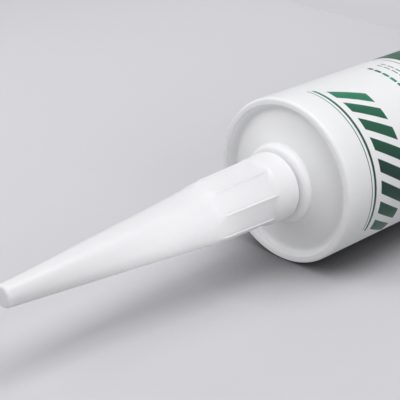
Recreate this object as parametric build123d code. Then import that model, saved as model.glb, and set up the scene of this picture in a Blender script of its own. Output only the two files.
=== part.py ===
from build123d import *
from math import cos, pi, sin
import os

# Sealant cartridge that stands on its open tail rim, with its nozzle up. Lengths are in mm,
# +Z is the tube's axis towards the tip, and the origin is the centre of the tail rim.

# Barrel: one moulding, whose head is a shallow cone sunk inside a narrow rim
barrel_radius = 25.0
barrel_wall = 1.3
barrel_height = 215.0
tail_lead_in = 0.6
rim_width = 2.65
rim_crest_width = 1.3
rim_outer_round = 0.9
rim_inner_round = 0.4
face_sink = 2.6
face_rise = 3.6
face_edge_round = 1.6
head_wall = 2.0
head_corner_round = 1.6

# Raised ring round the neck: its top stands this far in front of the rim
collar_radius = 12.0
collar_reach = 3.3
collar_round = 1.6
collar_root_round = 0.3

# Neck: its bore widens to a funnel inside the ring, and its own end closes it
neck_radius = 7.4
neck_height = 10.5
neck_wall = 1.5
neck_end_wall = 0.8
neck_end_chamfer = 0.7
funnel_radius = 9.0
funnel_round = 0.8

# Nozzle's round skirt, which seats on the ring
skirt_foot_radius = 10.2
skirt_foot_round = 1.6
skirt_radius = 10.0
skirt_height = 7.8
shoulder_height = 3.4
shoulder_round = 0.6

# Nozzle's eight-sided grip: slightly bulged sides between soft ridges, which start just
# inside the skirt, narrow towards the tip and end in short ramps
grip_sides = 8
ridge_step = 0.05
ridge_round = 0.5
side_bulge = 0.15
grip_top_radius = 9.2
grip_length = 23.9
grip_ramp_length = 2.6
grip_overlap = 0.2

# Nozzle's long cone, closed at the tip
nozzle_height = 95.3
cone_foot_radius = 8.4
cone_overlap = 0.5
tip_radius = 3.05
tip_round = 0.8

# Nozzle's inside
thread_depth = 0.6
thread_clearance = 0.1
nozzle_bore_depth = 11.2
nozzle_bore_shoulder = 1.1
grip_wall = 1.6
tip_side_wall = 1.2
tip_end_wall = 1.6

# Plunger: a moulded cup with a sealing lip at each end
plunger_inset = 12.0
plunger_height = 20.0
plunger_clearance = 0.05
plunger_wall = 1.6
plunger_floor = 1.8
plunger_floor_round = 2.0
plunger_waist_depth = 0.7
plunger_lip_height = 3.0
plunger_lip_slope = 0.9
plunger_front_chamfer = 1.5

# Sealant: the filling, which stops short of the walls by this much
sealant_clearance = 0.3

# One overrun for every cut
overrun = 5.0

# Places along the axis, and the radii that fits give
face_edge_z = barrel_height - face_sink
face_edge_radius = barrel_radius - rim_width
collar_top_z = barrel_height + collar_reach
neck_top_z = collar_top_z + neck_height
barrel_bore = barrel_radius - barrel_wall
neck_bore = neck_radius - neck_wall
nozzle_bore = neck_radius + thread_depth + thread_clearance
grip_foot_radius = skirt_radius - ridge_step
skirt_top_z = collar_top_z + skirt_height
grip_top_z = skirt_top_z + grip_length
tip_z = collar_top_z + nozzle_height
plunger_front_z = plunger_inset + plunger_height
plunger_radius = barrel_bore - plunger_clearance


def turned(corners):
    """Solid turned about Z from corners of (radius, height, rounding)."""
    points = [(radius, height) for radius, height, rounding in corners]
    roundings = [rounding for radius, height, rounding in corners]
    outline = FilletPolyline(*points, radius=roundings, close=True)
    return revolve(Plane.XZ * make_face(outline), Axis.Z)


def face_height(radius):
    """Height of the head's cone at a radius."""
    slope_share = (face_edge_radius - radius) / (face_edge_radius - collar_radius)
    return face_edge_z + face_rise * slope_share


def head_inside(radius):
    """Height of the head's inner side at a radius, one wall below its face."""
    return face_height(radius) - head_wall


def ridge_radius(height):
    """Radius of the grip's ridges at a height."""
    rise_share = (height - skirt_top_z) / grip_length
    return grip_foot_radius + (grip_top_radius - grip_foot_radius) * rise_share


def side_radius(height):
    """Distance of the middle of the grip's sides from the axis at a height."""
    return ridge_radius(height) * cos(pi / grip_sides) + side_bulge


def make_barrel():
    """Tube, rim, sunk head, raised ring and closed neck."""
    tail = [
        (barrel_bore, tail_lead_in, 0),
        (barrel_bore + tail_lead_in, 0, 0),
        (barrel_radius, 0, 0),
    ]
    rim = [
        (barrel_radius, barrel_height, rim_outer_round),
        (barrel_radius - rim_outer_round - rim_crest_width, barrel_height, rim_inner_round),
        (face_edge_radius, face_edge_z, face_edge_round),
    ]
    collar = [
        (collar_radius, face_height(collar_radius), collar_root_round),
        (collar_radius, collar_top_z, collar_round),
    ]
    neck = [
        (neck_radius, collar_top_z, 0),
        (neck_radius, neck_top_z - neck_end_chamfer, 0),
        (neck_radius - neck_end_chamfer, neck_top_z, 0),
        (0, neck_top_z, 0),
    ]
    inside = [
        (0, neck_top_z - neck_end_wall, 0),
        (neck_bore, neck_top_z - neck_end_wall, 0),
        (neck_bore, collar_top_z, 0),
        (funnel_radius, head_inside(funnel_radius), funnel_round),
        (barrel_bore, head_inside(barrel_bore), head_corner_round),
    ]
    return turned(tail + rim + collar + neck + inside)


def make_skirt():
    """Round skirt, and the shoulder that the grip's sides run out on."""
    shoulder_z = skirt_top_z + shoulder_height
    return turned([
        (0, collar_top_z, 0),
        (skirt_foot_radius, collar_top_z, skirt_foot_round),
        (skirt_radius, skirt_top_z, shoulder_round),
        (side_radius(shoulder_z) - grip_overlap, shoulder_z, 0),
        (0, shoulder_z, 0),
    ])


def across(radius, turn):
    """Point at a radius and a turn about the axis."""
    return (radius * cos(turn), radius * sin(turn))


def grip_section(height):
    """Face across the grip at a height: bulged sides that meet in soft ridges."""
    half_side = pi / grip_sides
    sides = []
    for side in range(grip_sides):
        middle = 2 * half_side * side + half_side
        sides.append(ThreePointArc(
            across(ridge_radius(height), middle - half_side),
            across(side_radius(height), middle),
            across(ridge_radius(height), middle + half_side),
        ))
    section = fillet(make_face(sides).vertices(), ridge_round)
    return (Pos(0, 0, height) * section).face()


def make_grip():
    """Eight-sided taper, whose ridges are trimmed to ramps by a cone at the top."""
    taper = loft([grip_section(skirt_top_z), grip_section(grip_top_z)])
    ramp_rise = ridge_radius(grip_top_z - grip_ramp_length) - cone_foot_radius
    trim_foot_radius = cone_foot_radius + ramp_rise * grip_length / grip_ramp_length
    trim = turned([
        (0, skirt_top_z, 0),
        (trim_foot_radius, skirt_top_z, 0),
        (cone_foot_radius, grip_top_z, 0),
        (0, grip_top_z, 0),
    ])
    return taper & trim


def make_cone():
    """Long cone to the tip, which starts inside the grip."""
    return turned([
        (0, grip_top_z - cone_overlap, 0),
        (cone_foot_radius, grip_top_z - cone_overlap, 0),
        (cone_foot_radius, grip_top_z, 0),
        (tip_radius, tip_z, tip_round),
        (0, tip_z, 0),
    ])


def make_nozzle_inside():
    """Room for the neck and its thread, then the narrowing passage."""
    bore_end_z = collar_top_z + nozzle_bore_depth
    passage_z = bore_end_z + nozzle_bore_shoulder
    return turned([
        (0, collar_top_z - overrun, 0),
        (nozzle_bore, collar_top_z - overrun, 0),
        (nozzle_bore, bore_end_z, 0),
        (side_radius(passage_z) - grip_wall, passage_z, 0),
        (side_radius(grip_top_z) - grip_wall, grip_top_z, 0),
        (tip_radius - tip_side_wall, tip_z - tip_end_wall, 0),
        (0, tip_z - tip_end_wall, 0),
    ])


def make_nozzle():
    """Skirt, grip and cone in one piece, hollow up to the closed tip."""
    return make_skirt() + make_grip() + make_cone() - make_nozzle_inside()


def make_plunger():
    """Cup, open to the tail, with a lip at each end that seals on the barrel's bore."""
    waist_radius = plunger_radius - plunger_waist_depth
    front_lip_z = plunger_front_z - plunger_front_chamfer - plunger_lip_height
    tail_lip_z = plunger_inset + plunger_lip_height
    inside_radius = waist_radius - plunger_wall
    return turned([
        (inside_radius, plunger_inset, 0),
        (plunger_radius, plunger_inset, 0),
        (plunger_radius, tail_lip_z, 0),
        (waist_radius, tail_lip_z + plunger_lip_slope, 0),
        (waist_radius, front_lip_z - plunger_lip_slope, 0),
        (plunger_radius, front_lip_z, 0),
        (plunger_radius, plunger_front_z - plunger_front_chamfer, 0),
        (plunger_radius - plunger_front_chamfer, plunger_front_z, 0),
        (0, plunger_front_z, 0),
        (0, plunger_front_z - plunger_floor, 0),
        (inside_radius, plunger_front_z - plunger_floor, plunger_floor_round),
    ])


def make_sealant():
    """Filling between the plunger and the closed neck."""
    foot_z = plunger_front_z + sealant_clearance
    edge_z = head_inside(barrel_bore) - sealant_clearance
    funnel_z = head_inside(funnel_radius) - sealant_clearance
    end_z = neck_top_z - neck_end_wall - sealant_clearance
    return turned([
        (0, foot_z, 0),
        (barrel_bore - sealant_clearance, foot_z, 0),
        (barrel_bore - sealant_clearance, edge_z, head_corner_round),
        (funnel_radius - sealant_clearance, funnel_z, funnel_round),
        (neck_bore - sealant_clearance, collar_top_z, 0),
        (neck_bore - sealant_clearance, end_z, 0),
        (0, end_z, 0),
    ])


os.makedirs("parts", exist_ok=True)
export_step(make_barrel(), "parts/cartridge_barrel.step")
export_step(make_nozzle(), "parts/nozzle.step")
export_step(make_plunger(), "parts/plunger.step")
export_step(make_sealant(), "parts/sealant.step")
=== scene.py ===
from math import cos, pi, radians, sin

import bmesh
import bpy
from mathutils import Matrix, Vector


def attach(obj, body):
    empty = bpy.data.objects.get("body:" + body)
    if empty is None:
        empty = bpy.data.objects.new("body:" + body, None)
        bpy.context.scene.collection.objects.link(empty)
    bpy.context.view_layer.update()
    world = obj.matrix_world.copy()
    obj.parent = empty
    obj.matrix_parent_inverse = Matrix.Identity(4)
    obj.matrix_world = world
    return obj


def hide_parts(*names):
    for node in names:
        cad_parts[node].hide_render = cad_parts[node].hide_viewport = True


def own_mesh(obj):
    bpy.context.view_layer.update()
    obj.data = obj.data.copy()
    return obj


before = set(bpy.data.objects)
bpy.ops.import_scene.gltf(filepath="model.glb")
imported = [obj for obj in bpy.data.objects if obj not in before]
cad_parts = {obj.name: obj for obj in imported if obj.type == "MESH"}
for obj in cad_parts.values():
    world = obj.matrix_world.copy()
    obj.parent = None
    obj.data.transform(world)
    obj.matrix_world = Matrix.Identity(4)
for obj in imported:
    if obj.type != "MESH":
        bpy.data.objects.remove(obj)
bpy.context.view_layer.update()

# Lengths are in metres and colours are linear. The tube stands on its tail, nozzle up. The
# photograph shows it lying on a table, so its camera is rolled, and a backdrop that touches the
# barrel's side takes the table's place. From behind, the backdrop is clear.
MM = 0.001

# The part's own sizes that the added pieces follow
BARREL_RADIUS = 25.0 * MM
BARREL_BORE = 23.7 * MM
HEAD_INSIDE_EDGE = 209.93 * MM
FUNNEL_FOOT = 215.04 * MM
FUNNEL_RADIUS = 9.0 * MM
COLLAR_TOP = 218.3 * MM
NECK_RADIUS = 7.4 * MM
NECK_BORE = 5.9 * MM
NECK_INSIDE_TOP = 228.0 * MM
NOZZLE_BORE = 8.1 * MM
PLUNGER_FRONT = 32.0 * MM

# Screw thread between the neck and the nozzle: two ridges half a pitch apart. The section's
# corners are shares of the width and of the depth
THREAD_PITCH = 3.0 * MM
THREAD_DEPTH = 0.6 * MM
THREAD_WIDTH = 1.5 * MM
THREAD_SUNK = 0.05 * MM
NECK_THREAD_START = 219.6 * MM
NECK_THREAD_TURNS = 2.3
NOZZLE_THREAD_TURNS = 2.1
THREAD_RUN_OUT = 0.2
THREAD_STEPS = 64
THREAD_SECTION = [(-0.5, 0.0), (-0.26, 0.8), (-0.18, 1.0), (0.18, 1.0), (0.26, 0.8), (0.5, 0.0)]

# Soft ribs on the ridges of the nozzle's grip, all in mm: each stop's height, radius of the
# ridge and share of the full rib, then the section's corners (place across, rise), and how deep
# the rib sinks where it ends
RIB_COUNT = 8
RIB_LINE = [(226.4, 9.9, 0.0), (228.2, 9.84, 1.0), (246.4, 9.27, 1.0), (248.6, 8.87, 0.0)]
RIB_SECTION = [(-0.5, -0.3), (-0.32, 0.0), (-0.12, 0.19), (0.12, 0.19), (0.32, 0.0), (0.5, -0.3)]
RIB_SUNK = 0.4

# Sealant: the room that it leaves to the walls, and the joint between its column and its head
SEALANT_ROOM = 0.3 * MM
SEALANT_JOINT = 0.05 * MM
SEALANT_STEPS = 96
MERGE_DISTANCE = 0.001 * MM

# Camera, as fitted to the photograph
EYE = Vector((78.75, -242.36, 452.47)) * MM
LOOK = Vector((-0.2288, 0.7428, -0.6292))
TOP = Vector((0.9563, 0.0506, -0.2879))
LENS = 108.0
CLIP_NEAR = 0.01
CLIP_FAR = 100.0

# Direction away from the photograph's table, and the backdrop that stands in for the table
TABLE_UP = Vector((0.9648, -0.2631, 0.0))
BACKDROP_ALONG = Vector((0.2631, 0.9648, 0.0))
AXIS = Vector((0.0, 0.0, 1.0))

# Looks: noises as scales per metre, their heights, the two colours and the two roughnesses that
# each noise goes between, and the share and reach of the light inside the plastic
NOISE_LOW = 0.3
NOISE_HIGH = 0.7
CLOUD_DETAIL = 4.0
SKIN_DETAIL = 3.0
LIGHT_DEPTH = 3.0 * MM
BARREL_MOTTLE = 45.0
BARREL_COLOURS = ((0.86, 0.865, 0.875, 1.0), (0.885, 0.89, 0.9, 1.0))
BARREL_MILKINESS = 0.35
BARREL_REACH = (1.0, 1.0, 0.95)
BARREL_SKIN = 420.0
BARREL_SKIN_HEIGHT = 0.02 * MM
BARREL_ROUGHNESS = (0.3, 0.4)
DRAWN_LINES = 900.0
DRAWN_STRETCH = (1.0, 1.0, 0.012)
DRAWN_HEIGHT = 0.012 * MM
NOZZLE_CLOUD = 60.0
NOZZLE_STRETCH = (1.0, 1.0, 0.4)
NOZZLE_COLOURS = ((0.868, 0.862, 0.879, 1.0), (0.893, 0.887, 0.904, 1.0))
NOZZLE_MILKINESS = 0.6
NOZZLE_REACH = (1.0, 1.0, 0.92)
NOZZLE_SKIN = 700.0
NOZZLE_SKIN_HEIGHT = 0.015 * MM
NOZZLE_ROUGHNESS = (0.28, 0.36)
PLUNGER_CLOUD = 80.0
PLUNGER_COLOURS = ((0.78, 0.79, 0.8, 1.0), (0.82, 0.83, 0.84, 1.0))
PLUNGER_SKIN = 800.0
PLUNGER_SKIN_HEIGHT = 0.02 * MM
PLUNGER_ROUGHNESS = (0.4, 0.52)
PASTE_SWIRL = 120.0
PASTE_SWIRL_HEIGHT = 0.2 * MM
PASTE_COLOURS = ((0.84, 0.84, 0.82, 1.0), (0.87, 0.87, 0.85, 1.0))
PASTE_ROUGHNESS = (0.45, 0.6)
SHEET_ROUGHNESS = 0.9


def feed(tree, socket, source):
    """Links a source to a socket, or sets the socket to a plain value."""
    if isinstance(source, bpy.types.NodeSocket):
        tree.links.new(source, socket)
    else:
        socket.default_value = source


def calc(tree, operation, *sources):
    """Math node of one operation."""
    made = tree.nodes.new("ShaderNodeMath")
    made.operation = operation
    for socket, source in zip(made.inputs, sources):
        feed(tree, socket, source)
    return made.outputs[0]


def ramp(tree, source, low, high, start=0.0, end=1.0):
    """Smooth step from start to end as the source goes from low to high."""
    made = tree.nodes.new("ShaderNodeMapRange")
    made.interpolation_type = "SMOOTHSTEP"
    for socket, value in zip(made.inputs, (source, low, high, start, end)):
        feed(tree, socket, value)
    return made.outputs[0]


def band(tree, source, low, high, edge):
    """One between low and high, nought outside, with soft edges."""
    rise = ramp(tree, source, low - edge, low + edge)
    fall = ramp(tree, source, high - edge, high + edge)
    return calc(tree, "SUBTRACT", rise, fall)


def blend_colour(tree, share, first, second):
    """Colour between two, by a share. The numbers are those of the node's colour sockets."""
    made = tree.nodes.new("ShaderNodeMix")
    made.data_type = "RGBA"
    feed(tree, made.inputs[0], share)
    feed(tree, made.inputs[6], first)
    feed(tree, made.inputs[7], second)
    return made.outputs[2]


def measure(tree, operation, *vectors):
    """Number that one operation makes of vectors."""
    made = tree.nodes.new("ShaderNodeVectorMath")
    made.operation = operation
    for socket, vector in zip(made.inputs, vectors):
        feed(tree, socket, vector)
    return made.outputs["Value"]


def rgb(red, green, blue):
    """Linear colour from three sRGB numbers of 0 to 255."""
    def linear(value):
        share = value / 255
        return share / 12.92 if share < 0.04045 else ((share + 0.055) / 1.055) ** 2.4
    return (linear(red), linear(green), linear(blue), 1.0)


def place_of(tree):
    """Place in the object's own frame."""
    return tree.nodes.new("ShaderNodeTexCoord").outputs["Object"]


def parts_of(tree, place):
    """The x, y and z of a place."""
    made = tree.nodes.new("ShaderNodeSeparateXYZ")
    tree.links.new(place, made.inputs[0])
    return made.outputs


def noise(tree, place, scale, stretch=(1.0, 1.0, 1.0), detail=SKIN_DETAIL):
    """Noise of a scale per metre, with the place stretched first."""
    spread = tree.nodes.new("ShaderNodeMapping")
    spread.inputs["Scale"].default_value = stretch
    tree.links.new(place, spread.inputs["Vector"])
    made = tree.nodes.new("ShaderNodeTexNoise")
    made.inputs["Scale"].default_value = scale
    made.inputs["Detail"].default_value = detail
    tree.links.new(spread.outputs[0], made.inputs["Vector"])
    return made.outputs[0]


def uneven(tree, source, low, high):
    """Value that goes from low to high over the usual range of a noise."""
    return ramp(tree, source, NOISE_LOW, NOISE_HIGH, low, high)


def bump(tree, height, distance, normal=None):
    """Bump node from a height."""
    made = tree.nodes.new("ShaderNodeBump")
    made.inputs["Distance"].default_value = distance
    feed(tree, made.inputs["Height"], height)
    if normal is not None:
        feed(tree, made.inputs["Normal"], normal)
    return made.outputs[0]


def new_material(name):
    """Material with an empty node tree that holds one shader and its output."""
    made = bpy.data.materials.new(name)
    made.use_nodes = True
    tree = made.node_tree
    tree.nodes.clear()
    shader = tree.nodes.new("ShaderNodeBsdfPrincipled")
    output = tree.nodes.new("ShaderNodeOutputMaterial")
    tree.links.new(shader.outputs[0], output.inputs["Surface"])
    return made, tree, shader


# Print on the barrel: heights above the tail, and angles about the axis from the middle of the
# print. Leaning bars, two rings and a few dashes stand where the photographed tube has words
PRINT_CENTRE = radians(-93)
PRINT_REACH = radians(59)
PRINT_EDGE = 0.09 * MM
BAR_LEAN = 0.6
BAR_PITCH = radians(14.8)
BAR_SHARE = 0.62
BAR_LOW = 190.5 * MM
BAR_HIGH = 201.0 * MM
RINGS = [(203.2 * MM, 204.1 * MM), (205.0 * MM, 205.3 * MM)]
FIELD = (60.0 * MM, 163.0 * MM)
FIELD_LINE = (165.2 * MM, 165.6 * MM)
DASHES = [(169.6 * MM, 170.1 * MM), (171.4 * MM, 171.9 * MM), (175.4 * MM, 176.6 * MM)]
DASH_PITCH = radians(7)
DASH_SHARE = 0.8
DASH_START = radians(47)
DASH_END = radians(82)
PANEL = (72.0 * MM, 150.0 * MM)
PANEL_REACH = radians(52)
PANEL_ROWS = 12
PANEL_ROW_SHARE = 0.4
GREEN_LIGHT = rgb(30, 128, 94)
GREEN = rgb(10, 88, 62)
GREEN_DARK = rgb(6, 56, 42)
LIGHT_START = radians(28)
LIGHT_END = radians(62)
DARK_MIDDLE = radians(-12)
DARK_REACH = radians(40)


def across_print(tree, parts, lean):
    """Angle from the middle of the print, which both halves of the barrel carry, with a lean."""
    angle = calc(tree, "ARCTAN2", parts[1], parts[0])
    height = calc(tree, "SUBTRACT", parts[2], BAR_LOW)
    shift = calc(tree, "MULTIPLY", height, lean / BARREL_RADIUS)
    turned = calc(tree, "SUBTRACT", calc(tree, "SUBTRACT", angle, PRINT_CENTRE), shift)
    halves = calc(tree, "FRACT", calc(tree, "ADD", calc(tree, "DIVIDE", turned, pi), 0.5))
    return calc(tree, "MULTIPLY", calc(tree, "SUBTRACT", halves, 0.5), pi)


def repeated(tree, source, pitch, share, edge):
    """One on a share of each pitch of the source, nought between."""
    cell = calc(tree, "SUBTRACT", calc(tree, "FRACT", calc(tree, "DIVIDE", source, pitch)), 0.5)
    return band(tree, cell, -share / 2, share / 2, edge / pitch)


def any_of(tree, masks):
    """One where any mask is one."""
    joined = masks[0]
    for mask in masks[1:]:
        joined = calc(tree, "MAXIMUM", joined, mask)
    return joined


def all_of(tree, masks):
    """One where every mask is one."""
    joined = masks[0]
    for mask in masks[1:]:
        joined = calc(tree, "MULTIPLY", joined, mask)
    return joined


def print_mask(tree, parts):
    """One where the barrel is printed."""
    height = parts[2]
    turn_edge = PRINT_EDGE / BARREL_RADIUS
    leaning = across_print(tree, parts, BAR_LEAN)
    upright = across_print(tree, parts, 0)
    inside = band(tree, leaning, -PRINT_REACH, PRINT_REACH, turn_edge)
    bars = all_of(tree, [
        inside,
        repeated(tree, leaning, BAR_PITCH, BAR_SHARE, turn_edge),
        band(tree, height, BAR_LOW, BAR_HIGH, PRINT_EDGE),
    ])
    rings = any_of(tree, [band(tree, height, low, high, PRINT_EDGE) for low, high in RINGS])
    dashes = all_of(tree, [
        band(tree, upright, DASH_START, DASH_END, turn_edge),
        repeated(tree, upright, DASH_PITCH, DASH_SHARE, turn_edge),
        any_of(tree, [band(tree, height, low, high, PRINT_EDGE) for low, high in DASHES]),
    ])
    row_pitch = (PANEL[1] - PANEL[0]) / PANEL_ROWS
    from_panel = calc(tree, "SUBTRACT", height, PANEL[0])
    panel = all_of(tree, [
        band(tree, height, *PANEL, PRINT_EDGE),
        band(tree, upright, -PANEL_REACH, PANEL_REACH, turn_edge),
        repeated(tree, from_panel, row_pitch, PANEL_ROW_SHARE, PRINT_EDGE),
    ])
    field = calc(tree, "SUBTRACT", band(tree, height, *FIELD, PRINT_EDGE), panel)
    field_line = band(tree, height, *FIELD_LINE, PRINT_EDGE)
    return any_of(tree, [bars, all_of(tree, [rings, inside]), dashes, field, field_line])


def ink_colour(tree, parts):
    """Green that goes from light through dark across the print."""
    leaning = across_print(tree, parts, BAR_LEAN)
    light = ramp(tree, leaning, LIGHT_START, LIGHT_END)
    from_dark = calc(tree, "ABSOLUTE", calc(tree, "SUBTRACT", leaning, DARK_MIDDLE))
    dark = ramp(tree, from_dark, 0.0, DARK_REACH, 1.0, 0.0)
    ink = blend_colour(tree, dark, GREEN, GREEN_DARK)
    return blend_colour(tree, light, ink, GREEN_LIGHT)


def let_light_in(shader, weight, reach):
    """Lets a share of the light travel inside the plastic, by its reach for each colour."""
    shader.inputs["Subsurface Weight"].default_value = weight
    shader.inputs["Subsurface Radius"].default_value = reach
    shader.inputs["Subsurface Scale"].default_value = LIGHT_DEPTH


def barrel_material():
    """Satin white polyethylene with a green print."""
    made, tree, shader = new_material("barrel_plastic")
    place = place_of(tree)
    parts = parts_of(tree, place)
    mottle = noise(tree, place, BARREL_MOTTLE, detail=CLOUD_DETAIL)
    plastic = blend_colour(tree, mottle, *BARREL_COLOURS)
    mask = print_mask(tree, parts)
    colour = blend_colour(tree, mask, plastic, ink_colour(tree, parts))
    feed(tree, shader.inputs["Base Color"], colour)
    let_light_in(shader, BARREL_MILKINESS, BARREL_REACH)
    drawn = bump(tree, noise(tree, place, DRAWN_LINES, stretch=DRAWN_STRETCH), DRAWN_HEIGHT)
    skin = noise(tree, place, BARREL_SKIN)
    feed(tree, shader.inputs["Normal"], bump(tree, skin, BARREL_SKIN_HEIGHT, drawn))
    feed(tree, shader.inputs["Roughness"], uneven(tree, skin, *BARREL_ROUGHNESS))
    return made


# Softness of the nozzle's edges, beyond the solid's own rounding, and where the grip runs out
EDGE_SAMPLES = 8
NOZZLE_EDGE = 0.5 * MM
RUN_OUT_EDGE = 2.5 * MM
RUN_OUT_LOW = 243.0 * MM
RUN_OUT_HIGH = 254.0 * MM
RUN_OUT_SOFT = 2.0 * MM

# Share of the usual gleam: the ramps catch less of it than the sides do
GLEAM = 0.5
RUN_OUT_GLEAM = 0.15


def milky_plastic(name):
    """Smooth, slightly cloudy polyethylene, with its node tree, shader and skin."""
    made, tree, shader = new_material(name)
    place = place_of(tree)
    cloud = noise(tree, place, NOZZLE_CLOUD, stretch=NOZZLE_STRETCH, detail=CLOUD_DETAIL)
    feed(tree, shader.inputs["Base Color"], blend_colour(tree, cloud, *NOZZLE_COLOURS))
    skin = noise(tree, place, NOZZLE_SKIN)
    feed(tree, shader.inputs["Roughness"], uneven(tree, skin, *NOZZLE_ROUGHNESS))
    return made, tree, shader, skin


def nozzle_material():
    """Milky polyethylene that lets some light through, with softened edges."""
    made, tree, shader, skin = milky_plastic("nozzle_plastic")
    let_light_in(shader, NOZZLE_MILKINESS, NOZZLE_REACH)
    soft_edges = tree.nodes.new("ShaderNodeBevel")
    soft_edges.samples = EDGE_SAMPLES
    height = parts_of(tree, place_of(tree))[2]
    run_out = band(tree, height, RUN_OUT_LOW, RUN_OUT_HIGH, RUN_OUT_SOFT)
    reach = ramp(tree, run_out, 0.0, 1.0, NOZZLE_EDGE, RUN_OUT_EDGE)
    feed(tree, soft_edges.inputs["Radius"], reach)
    gleam = ramp(tree, run_out, 0.0, 1.0, GLEAM, RUN_OUT_GLEAM)
    feed(tree, shader.inputs["Specular IOR Level"], gleam)
    normal = bump(tree, skin, NOZZLE_SKIN_HEIGHT, soft_edges.outputs[0])
    feed(tree, shader.inputs["Normal"], normal)
    return made


def rib_material():
    """The nozzle's plastic where it is too thin to let light through sideways."""
    made, tree, shader, skin = milky_plastic("rib_plastic")
    feed(tree, shader.inputs["Normal"], bump(tree, skin, NOZZLE_SKIN_HEIGHT))
    return made


def plunger_material():
    """Moulded polyethylene, a little greyer than the barrel."""
    made, tree, shader = new_material("plunger_plastic")
    place = place_of(tree)
    cloud = noise(tree, place, PLUNGER_CLOUD, detail=CLOUD_DETAIL)
    feed(tree, shader.inputs["Base Color"], blend_colour(tree, cloud, *PLUNGER_COLOURS))
    skin = noise(tree, place, PLUNGER_SKIN)
    feed(tree, shader.inputs["Normal"], bump(tree, skin, PLUNGER_SKIN_HEIGHT))
    feed(tree, shader.inputs["Roughness"], uneven(tree, skin, *PLUNGER_ROUGHNESS))
    return made


def sealant_material():
    """Soft white paste."""
    made, tree, shader = new_material("sealant_paste")
    swirl = noise(tree, place_of(tree), PASTE_SWIRL, detail=CLOUD_DETAIL)
    feed(tree, shader.inputs["Base Color"], blend_colour(tree, swirl, *PASTE_COLOURS))
    feed(tree, shader.inputs["Normal"], bump(tree, swirl, PASTE_SWIRL_HEIGHT))
    feed(tree, shader.inputs["Roughness"], uneven(tree, swirl, *PASTE_ROUGHNESS))
    return made


def new_mesh(name, points, faces, material):
    """Smooth-shaded mesh object."""
    mesh = bpy.data.meshes.new(name)
    mesh.from_pydata(points, [], faces)
    mesh.polygons.foreach_set("use_smooth", [True] * len(mesh.polygons))
    mesh.materials.append(material)
    mesh.update()
    made = bpy.data.objects.new(name, mesh)
    bpy.context.scene.collection.objects.link(made)
    return made


def turned_mesh(name, outline, steps, material):
    """Closed mesh turned about Z from (radius, height) points that start and end on the axis."""
    form = bmesh.new()
    corners = [form.verts.new((radius, 0, height)) for radius, height in outline]
    edges = [form.edges.new(pair) for pair in zip(corners, corners[1:])]
    middle = (0, 0, 0)
    bmesh.ops.spin(form, geom=corners + edges, axis=AXIS, cent=middle, angle=2 * pi, steps=steps)
    bmesh.ops.remove_doubles(form, verts=form.verts, dist=MERGE_DISTANCE)
    bmesh.ops.recalc_face_normals(form, faces=form.faces)
    made = new_mesh(name, [], [], material)
    form.to_mesh(made.data)
    form.free()
    made.data.polygons.foreach_set("use_smooth", [True] * len(made.data.polygons))
    made.data.update()
    return made


def thread(name, root, outward, start, turns, material):
    """Right-hand screw ridge on a cylinder of the root radius; outward is 1, or -1 in a bore."""
    count = round(turns * THREAD_STEPS)
    points = []
    for step in range(count + 1):
        turned = step / THREAD_STEPS
        end = min(turned, turns - turned, THREAD_RUN_OUT) / THREAD_RUN_OUT
        for along, height_share in THREAD_SECTION:
            radius = root + outward * (height_share * THREAD_DEPTH * end - THREAD_SUNK)
            height = start + THREAD_PITCH * turned + along * THREAD_WIDTH
            turn = 2 * pi * turned
            points.append((radius * cos(turn), radius * sin(turn), height))
    size = len(THREAD_SECTION)
    faces = [tuple(range(size)), tuple(range(count * size, (count + 1) * size))[::-1]]
    for step in range(count):
        for corner in range(size):
            after = (corner + 1) % size
            low, high = step * size, (step + 1) * size
            faces.append((low + corner, high + corner, high + after, low + after))
    faces = [face[::outward] for face in faces]
    return new_mesh(name, points, faces, material)


def add_threads(barrel_plastic, nozzle_plastic):
    """Ridge on the neck, and the one in the nozzle that runs between its turns."""
    start = NECK_THREAD_START
    neck = thread("neck_thread", NECK_RADIUS, 1, start, NECK_THREAD_TURNS, barrel_plastic)
    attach(neck, "barrel")
    start += THREAD_PITCH / 2
    inner = thread("nozzle_thread", NOZZLE_BORE, -1, start, NOZZLE_THREAD_TURNS, nozzle_plastic)
    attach(inner, "nozzle")


def add_ribs(plastic):
    """Soft ribs along the grip's ridges, which sink into the nozzle at both ends."""
    size = len(RIB_SECTION)
    points = []
    faces = []
    for side in range(RIB_COUNT):
        turn = 2 * pi * side / RIB_COUNT
        away = Vector((cos(turn), sin(turn), 0)) * MM
        sideways = Vector((-sin(turn), cos(turn), 0)) * MM
        first = len(points)
        for height, radius, full_share in RIB_LINE:
            base = away * (radius - RIB_SUNK * (1 - full_share)) + AXIS * height * MM
            points += [base + sideways * place + away * rise for place, rise in RIB_SECTION]
        for low in range(first, len(points) - size, size):
            for corner in range(size):
                after = (corner + 1) % size
                faces.append((low + corner, low + after, low + size + after, low + size + corner))
        faces.append(tuple(range(first, first + size))[::-1])
        faces.append(tuple(range(len(points) - size, len(points))))
    ribs = new_mesh("grip_ribs", points, faces, plastic)
    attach(ribs, "nozzle")


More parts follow.
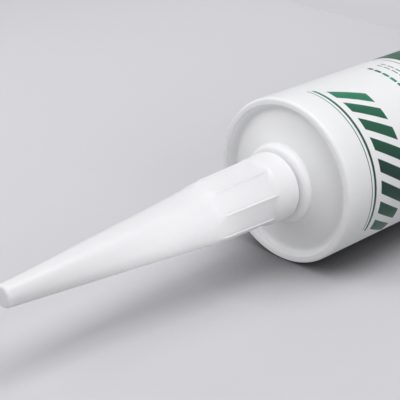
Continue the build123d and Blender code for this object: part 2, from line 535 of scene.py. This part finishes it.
def add_sealant(paste):
    """Filling: a column that the plunger squeezes flat, and the fixed rest in head and neck."""
    column_radius = BARREL_BORE - SEALANT_ROOM
    column_foot = PLUNGER_FRONT + SEALANT_ROOM
    column_top = HEAD_INSIDE_EDGE - SEALANT_ROOM
    column = turned_mesh("sealant_column", [
        (0, column_foot),
        (column_radius, column_foot),
        (column_radius, column_top),
        (0, column_top),
    ], SEALANT_STEPS, paste)
    head = turned_mesh("sealant_head", [
        (0, column_top + SEALANT_JOINT),
        (column_radius - SEALANT_ROOM, column_top + SEALANT_JOINT),
        (FUNNEL_RADIUS - SEALANT_ROOM, FUNNEL_FOOT - SEALANT_ROOM),
        (NECK_BORE - SEALANT_ROOM, COLLAR_TOP),
        (NECK_BORE - SEALANT_ROOM, NECK_INSIDE_TOP - SEALANT_ROOM),
        (0, NECK_INSIDE_TOP - SEALANT_ROOM),
    ], SEALANT_STEPS, paste)
    for piece in (column, head):
        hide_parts("sealant")
        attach(piece, "barrel")
    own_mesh(column)


def aim(thing, place, direction, up=(0, 0, 1)):
    """Puts a camera or lamp at a place, looking along a direction, with its top towards up."""
    back = -Vector(direction).normalized()
    right = Vector(up).cross(back).normalized()
    turn = Matrix((right, back.cross(right), back)).transposed()
    thing.matrix_world = Matrix.Translation(place) @ turn.to_4x4()


def new_camera():
    """Camera at the photograph's viewing angle."""
    lens = bpy.data.cameras.new("photo_camera")
    lens.lens = LENS
    lens.clip_start = CLIP_NEAR
    lens.clip_end = CLIP_FAR
    made = bpy.data.objects.new("photo_camera", lens)
    bpy.context.scene.collection.objects.link(made)
    aim(made, EYE, LOOK, TOP)
    bpy.context.scene.camera = made


def lamp(name, place, target, width, spread, power):
    """Square soft lamp that points at a target, with its light spread over some degrees."""
    light = bpy.data.lights.new(name, "AREA")
    light.size = width
    light.spread = radians(spread)
    light.energy = power
    made = bpy.data.objects.new(name, light)
    bpy.context.scene.collection.objects.link(made)
    aim(made, place, target - place)
    made.visible_camera = False


# What is seen beyond the sheets, and the even light that comes from there
BACKGROUND = rgb(211, 210, 215)
WORLD_LIGHT = (0.318, 0.317, 0.323, 1.0)

# Floor, which darkens away from the tube, so that the lamps don't bleach it
FLOOR_COLOUR = (0.6, 0.6, 0.62, 1.0)
FLOOR_FAR = (0.1, 0.1, 0.103, 1.0)
FLOOR_FADE_START = 0.15
FLOOR_FADE_END = 0.7
FLOOR_GLOW = 0.31
FLOOR_REACH = 6.0

# Backdrop: its ends along the table and up the tube, and its grey, which changes along it
BACKDROP_START = -0.3
BACKDROP_END = 0.5
BACKDROP_LOW = -0.05
BACKDROP_HIGH = 0.5
# The grey is painted light and shade: darker where the sheet starts and lighter along it, to even
# out the lamps' light on it
BACKDROP_NEAR = (0.606, 0.602, 0.629, 1.0)
BACKDROP_FAR = (0.743, 0.738, 0.771, 1.0)
TONE_START = -100 * MM
TONE_END = 250 * MM

# Backdrop's shade close under the tube: how far the tube shades it, the open shares where the
# shade is full and gone, and the heights between which it fades in above the floor
BACKDROP_PAINTED_SHADE = (0.02, 0.02, 0.021, 1.0)
SHADE_REACH = 30 * MM
SHADE_FULL = 0.05
SHADE_GONE = 0.9
SHADE_FADE_LOW = 60 * MM
SHADE_FADE_HIGH = 130 * MM

# Soft lamps: each one's height of aim, its direction as shares away from the table, along it
# and up the tube, then its distance, width, spread and power. The bounces stand in for the
# light that a table sends up to the nozzle
LAMPS = {
    "key": (250 * MM, (1.0, -0.25, -0.1), 0.6, 0.3, 180, 1.46),
    "head": (250 * MM, (1.0, 0.0, 0.8), 0.9, 0.6, 180, 1.26),
    "near": (250 * MM, (0.4, -1.0, 0.1), 0.9, 0.6, 180, 2.58),
    "far": (250 * MM, (0.3, 1.0, 0.4), 0.9, 0.6, 180, 1.72),
    "top": (250 * MM, (1.0, 0.8, 0.8), 0.9, 0.6, 180, 1.61),
    "bounce": (262 * MM, (-0.4, -1.0, 0.0), 0.06, 0.04, 75, 0.003),
    "tip_bounce": (303 * MM, (-1.0, -0.3, 0.0), 0.06, 0.05, 75, 0.0018),
}


def new_world():
    """Pale surroundings, which light the tube evenly."""
    world = bpy.data.worlds.new("studio")
    bpy.context.scene.world = world
    world.use_nodes = True
    tree = world.node_tree
    tree.nodes.clear()
    path = tree.nodes.new("ShaderNodeLightPath")
    seen = calc(tree, "MAXIMUM", path.outputs["Is Camera Ray"], path.outputs["Is Glossy Ray"])
    seen = calc(tree, "MAXIMUM", seen, path.outputs["Is Transmission Ray"])
    shader = tree.nodes.new("ShaderNodeBackground")
    feed(tree, shader.inputs["Color"], blend_colour(tree, seen, WORLD_LIGHT, BACKGROUND))
    output = tree.nodes.new("ShaderNodeOutputWorld")
    tree.links.new(shader.outputs[0], output.inputs["Surface"])


def floor_material():
    """Plain pale floor."""
    made, tree, shader = new_material("pale_floor")
    away = measure(tree, "LENGTH", place_of(tree))
    far_share = ramp(tree, away, FLOOR_FADE_START, FLOOR_FADE_END)
    feed(tree, shader.inputs["Base Color"], blend_colour(tree, far_share, FLOOR_COLOUR, FLOOR_FAR))
    shader.inputs["Roughness"].default_value = SHEET_ROUGHNESS
    path = tree.nodes.new("ShaderNodeLightPath")
    shader.inputs["Emission Color"].default_value = FLOOR_COLOUR
    glow = calc(tree, "MULTIPLY", path.outputs["Is Camera Ray"], FLOOR_GLOW)
    feed(tree, shader.inputs["Emission Strength"], glow)
    return made


def backdrop_material():
    """Pale sheet that shows only from its front, with shade painted into its colour close under
    the tube and light and shade painted along it.
    """
    made, tree, shader = new_material("pale_backdrop")
    place = place_of(tree)
    # Painted shade: the sheet's colour goes to near black where little is open close under the
    # tube
    openness = tree.nodes.new("ShaderNodeAmbientOcclusion")
    openness.inputs["Distance"].default_value = SHADE_REACH
    open_share = ramp(tree, openness.outputs["AO"], SHADE_FULL, SHADE_GONE)
    height = parts_of(tree, place)[2]
    near_floor = ramp(tree, height, SHADE_FADE_LOW, SHADE_FADE_HIGH, 1.0, 0.0)
    open_share = calc(tree, "MAXIMUM", open_share, near_floor)
    # Painted light and shade along the sheet: its grey gets lighter towards the far end
    along = measure(tree, "DOT_PRODUCT", place, BACKDROP_ALONG)
    far_share = ramp(tree, along, TONE_START, TONE_END)
    sheet = blend_colour(tree, far_share, BACKDROP_NEAR, BACKDROP_FAR)
    feed(tree, shader.inputs["Base Color"], blend_colour(tree, open_share, BACKDROP_PAINTED_SHADE, sheet))
    shader.inputs["Roughness"].default_value = SHEET_ROUGHNESS
    clear = tree.nodes.new("ShaderNodeBsdfTransparent")
    side = tree.nodes.new("ShaderNodeNewGeometry")
    mix = tree.nodes.new("ShaderNodeMixShader")
    tree.links.new(side.outputs["Backfacing"], mix.inputs[0])
    tree.links.new(shader.outputs[0], mix.inputs[1])
    tree.links.new(clear.outputs[0], mix.inputs[2])
    output = next(n for n in tree.nodes if n.type == "OUTPUT_MATERIAL")
    tree.links.new(mix.outputs[0], output.inputs["Surface"])
    return made


def new_stage():
    """Floor under the tail, and the backdrop beside the barrel."""
    reach = FLOOR_REACH
    corners = [(-reach, -reach, 0), (reach, -reach, 0), (reach, reach, 0), (-reach, reach, 0)]
    floor = new_mesh("floor", corners, [(0, 1, 2, 3)], floor_material())
    start = BACKDROP_START * BACKDROP_ALONG - BARREL_RADIUS * TABLE_UP
    end = BACKDROP_END * BACKDROP_ALONG - BARREL_RADIUS * TABLE_UP
    low = BACKDROP_LOW * AXIS
    high = BACKDROP_HIGH * AXIS
    corners = [start + low, end + low, end + high, start + high]
    backdrop = new_mesh("backdrop", corners, [(0, 1, 2, 3)], backdrop_material())
    for kind in ("diffuse", "glossy", "transmission", "shadow"):
        setattr(backdrop, "visible_" + kind, False)


def new_lamps():
    """Soft studio light."""
    for name, (height, (away, along, up), distance, width, spread, power) in LAMPS.items():
        target = height * AXIS
        direction = away * TABLE_UP + along * BACKDROP_ALONG + up * AXIS
        lamp(name, target + direction.normalized() * distance, target, width, spread, power)


new_camera()
new_world()
new_stage()
new_lamps()

materials = {
    "cartridge_barrel": barrel_material(),
    "nozzle": nozzle_material(),
    "plunger": plunger_material(),
    "sealant": sealant_material(),
}
for name, material in materials.items():
    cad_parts[name].material_slots[0].material = material
add_threads(materials["cartridge_barrel"], materials["nozzle"])
add_ribs(rib_material())
add_sealant(materials["sealant"])

bpy.context.scene.view_settings.view_transform = "Standard"
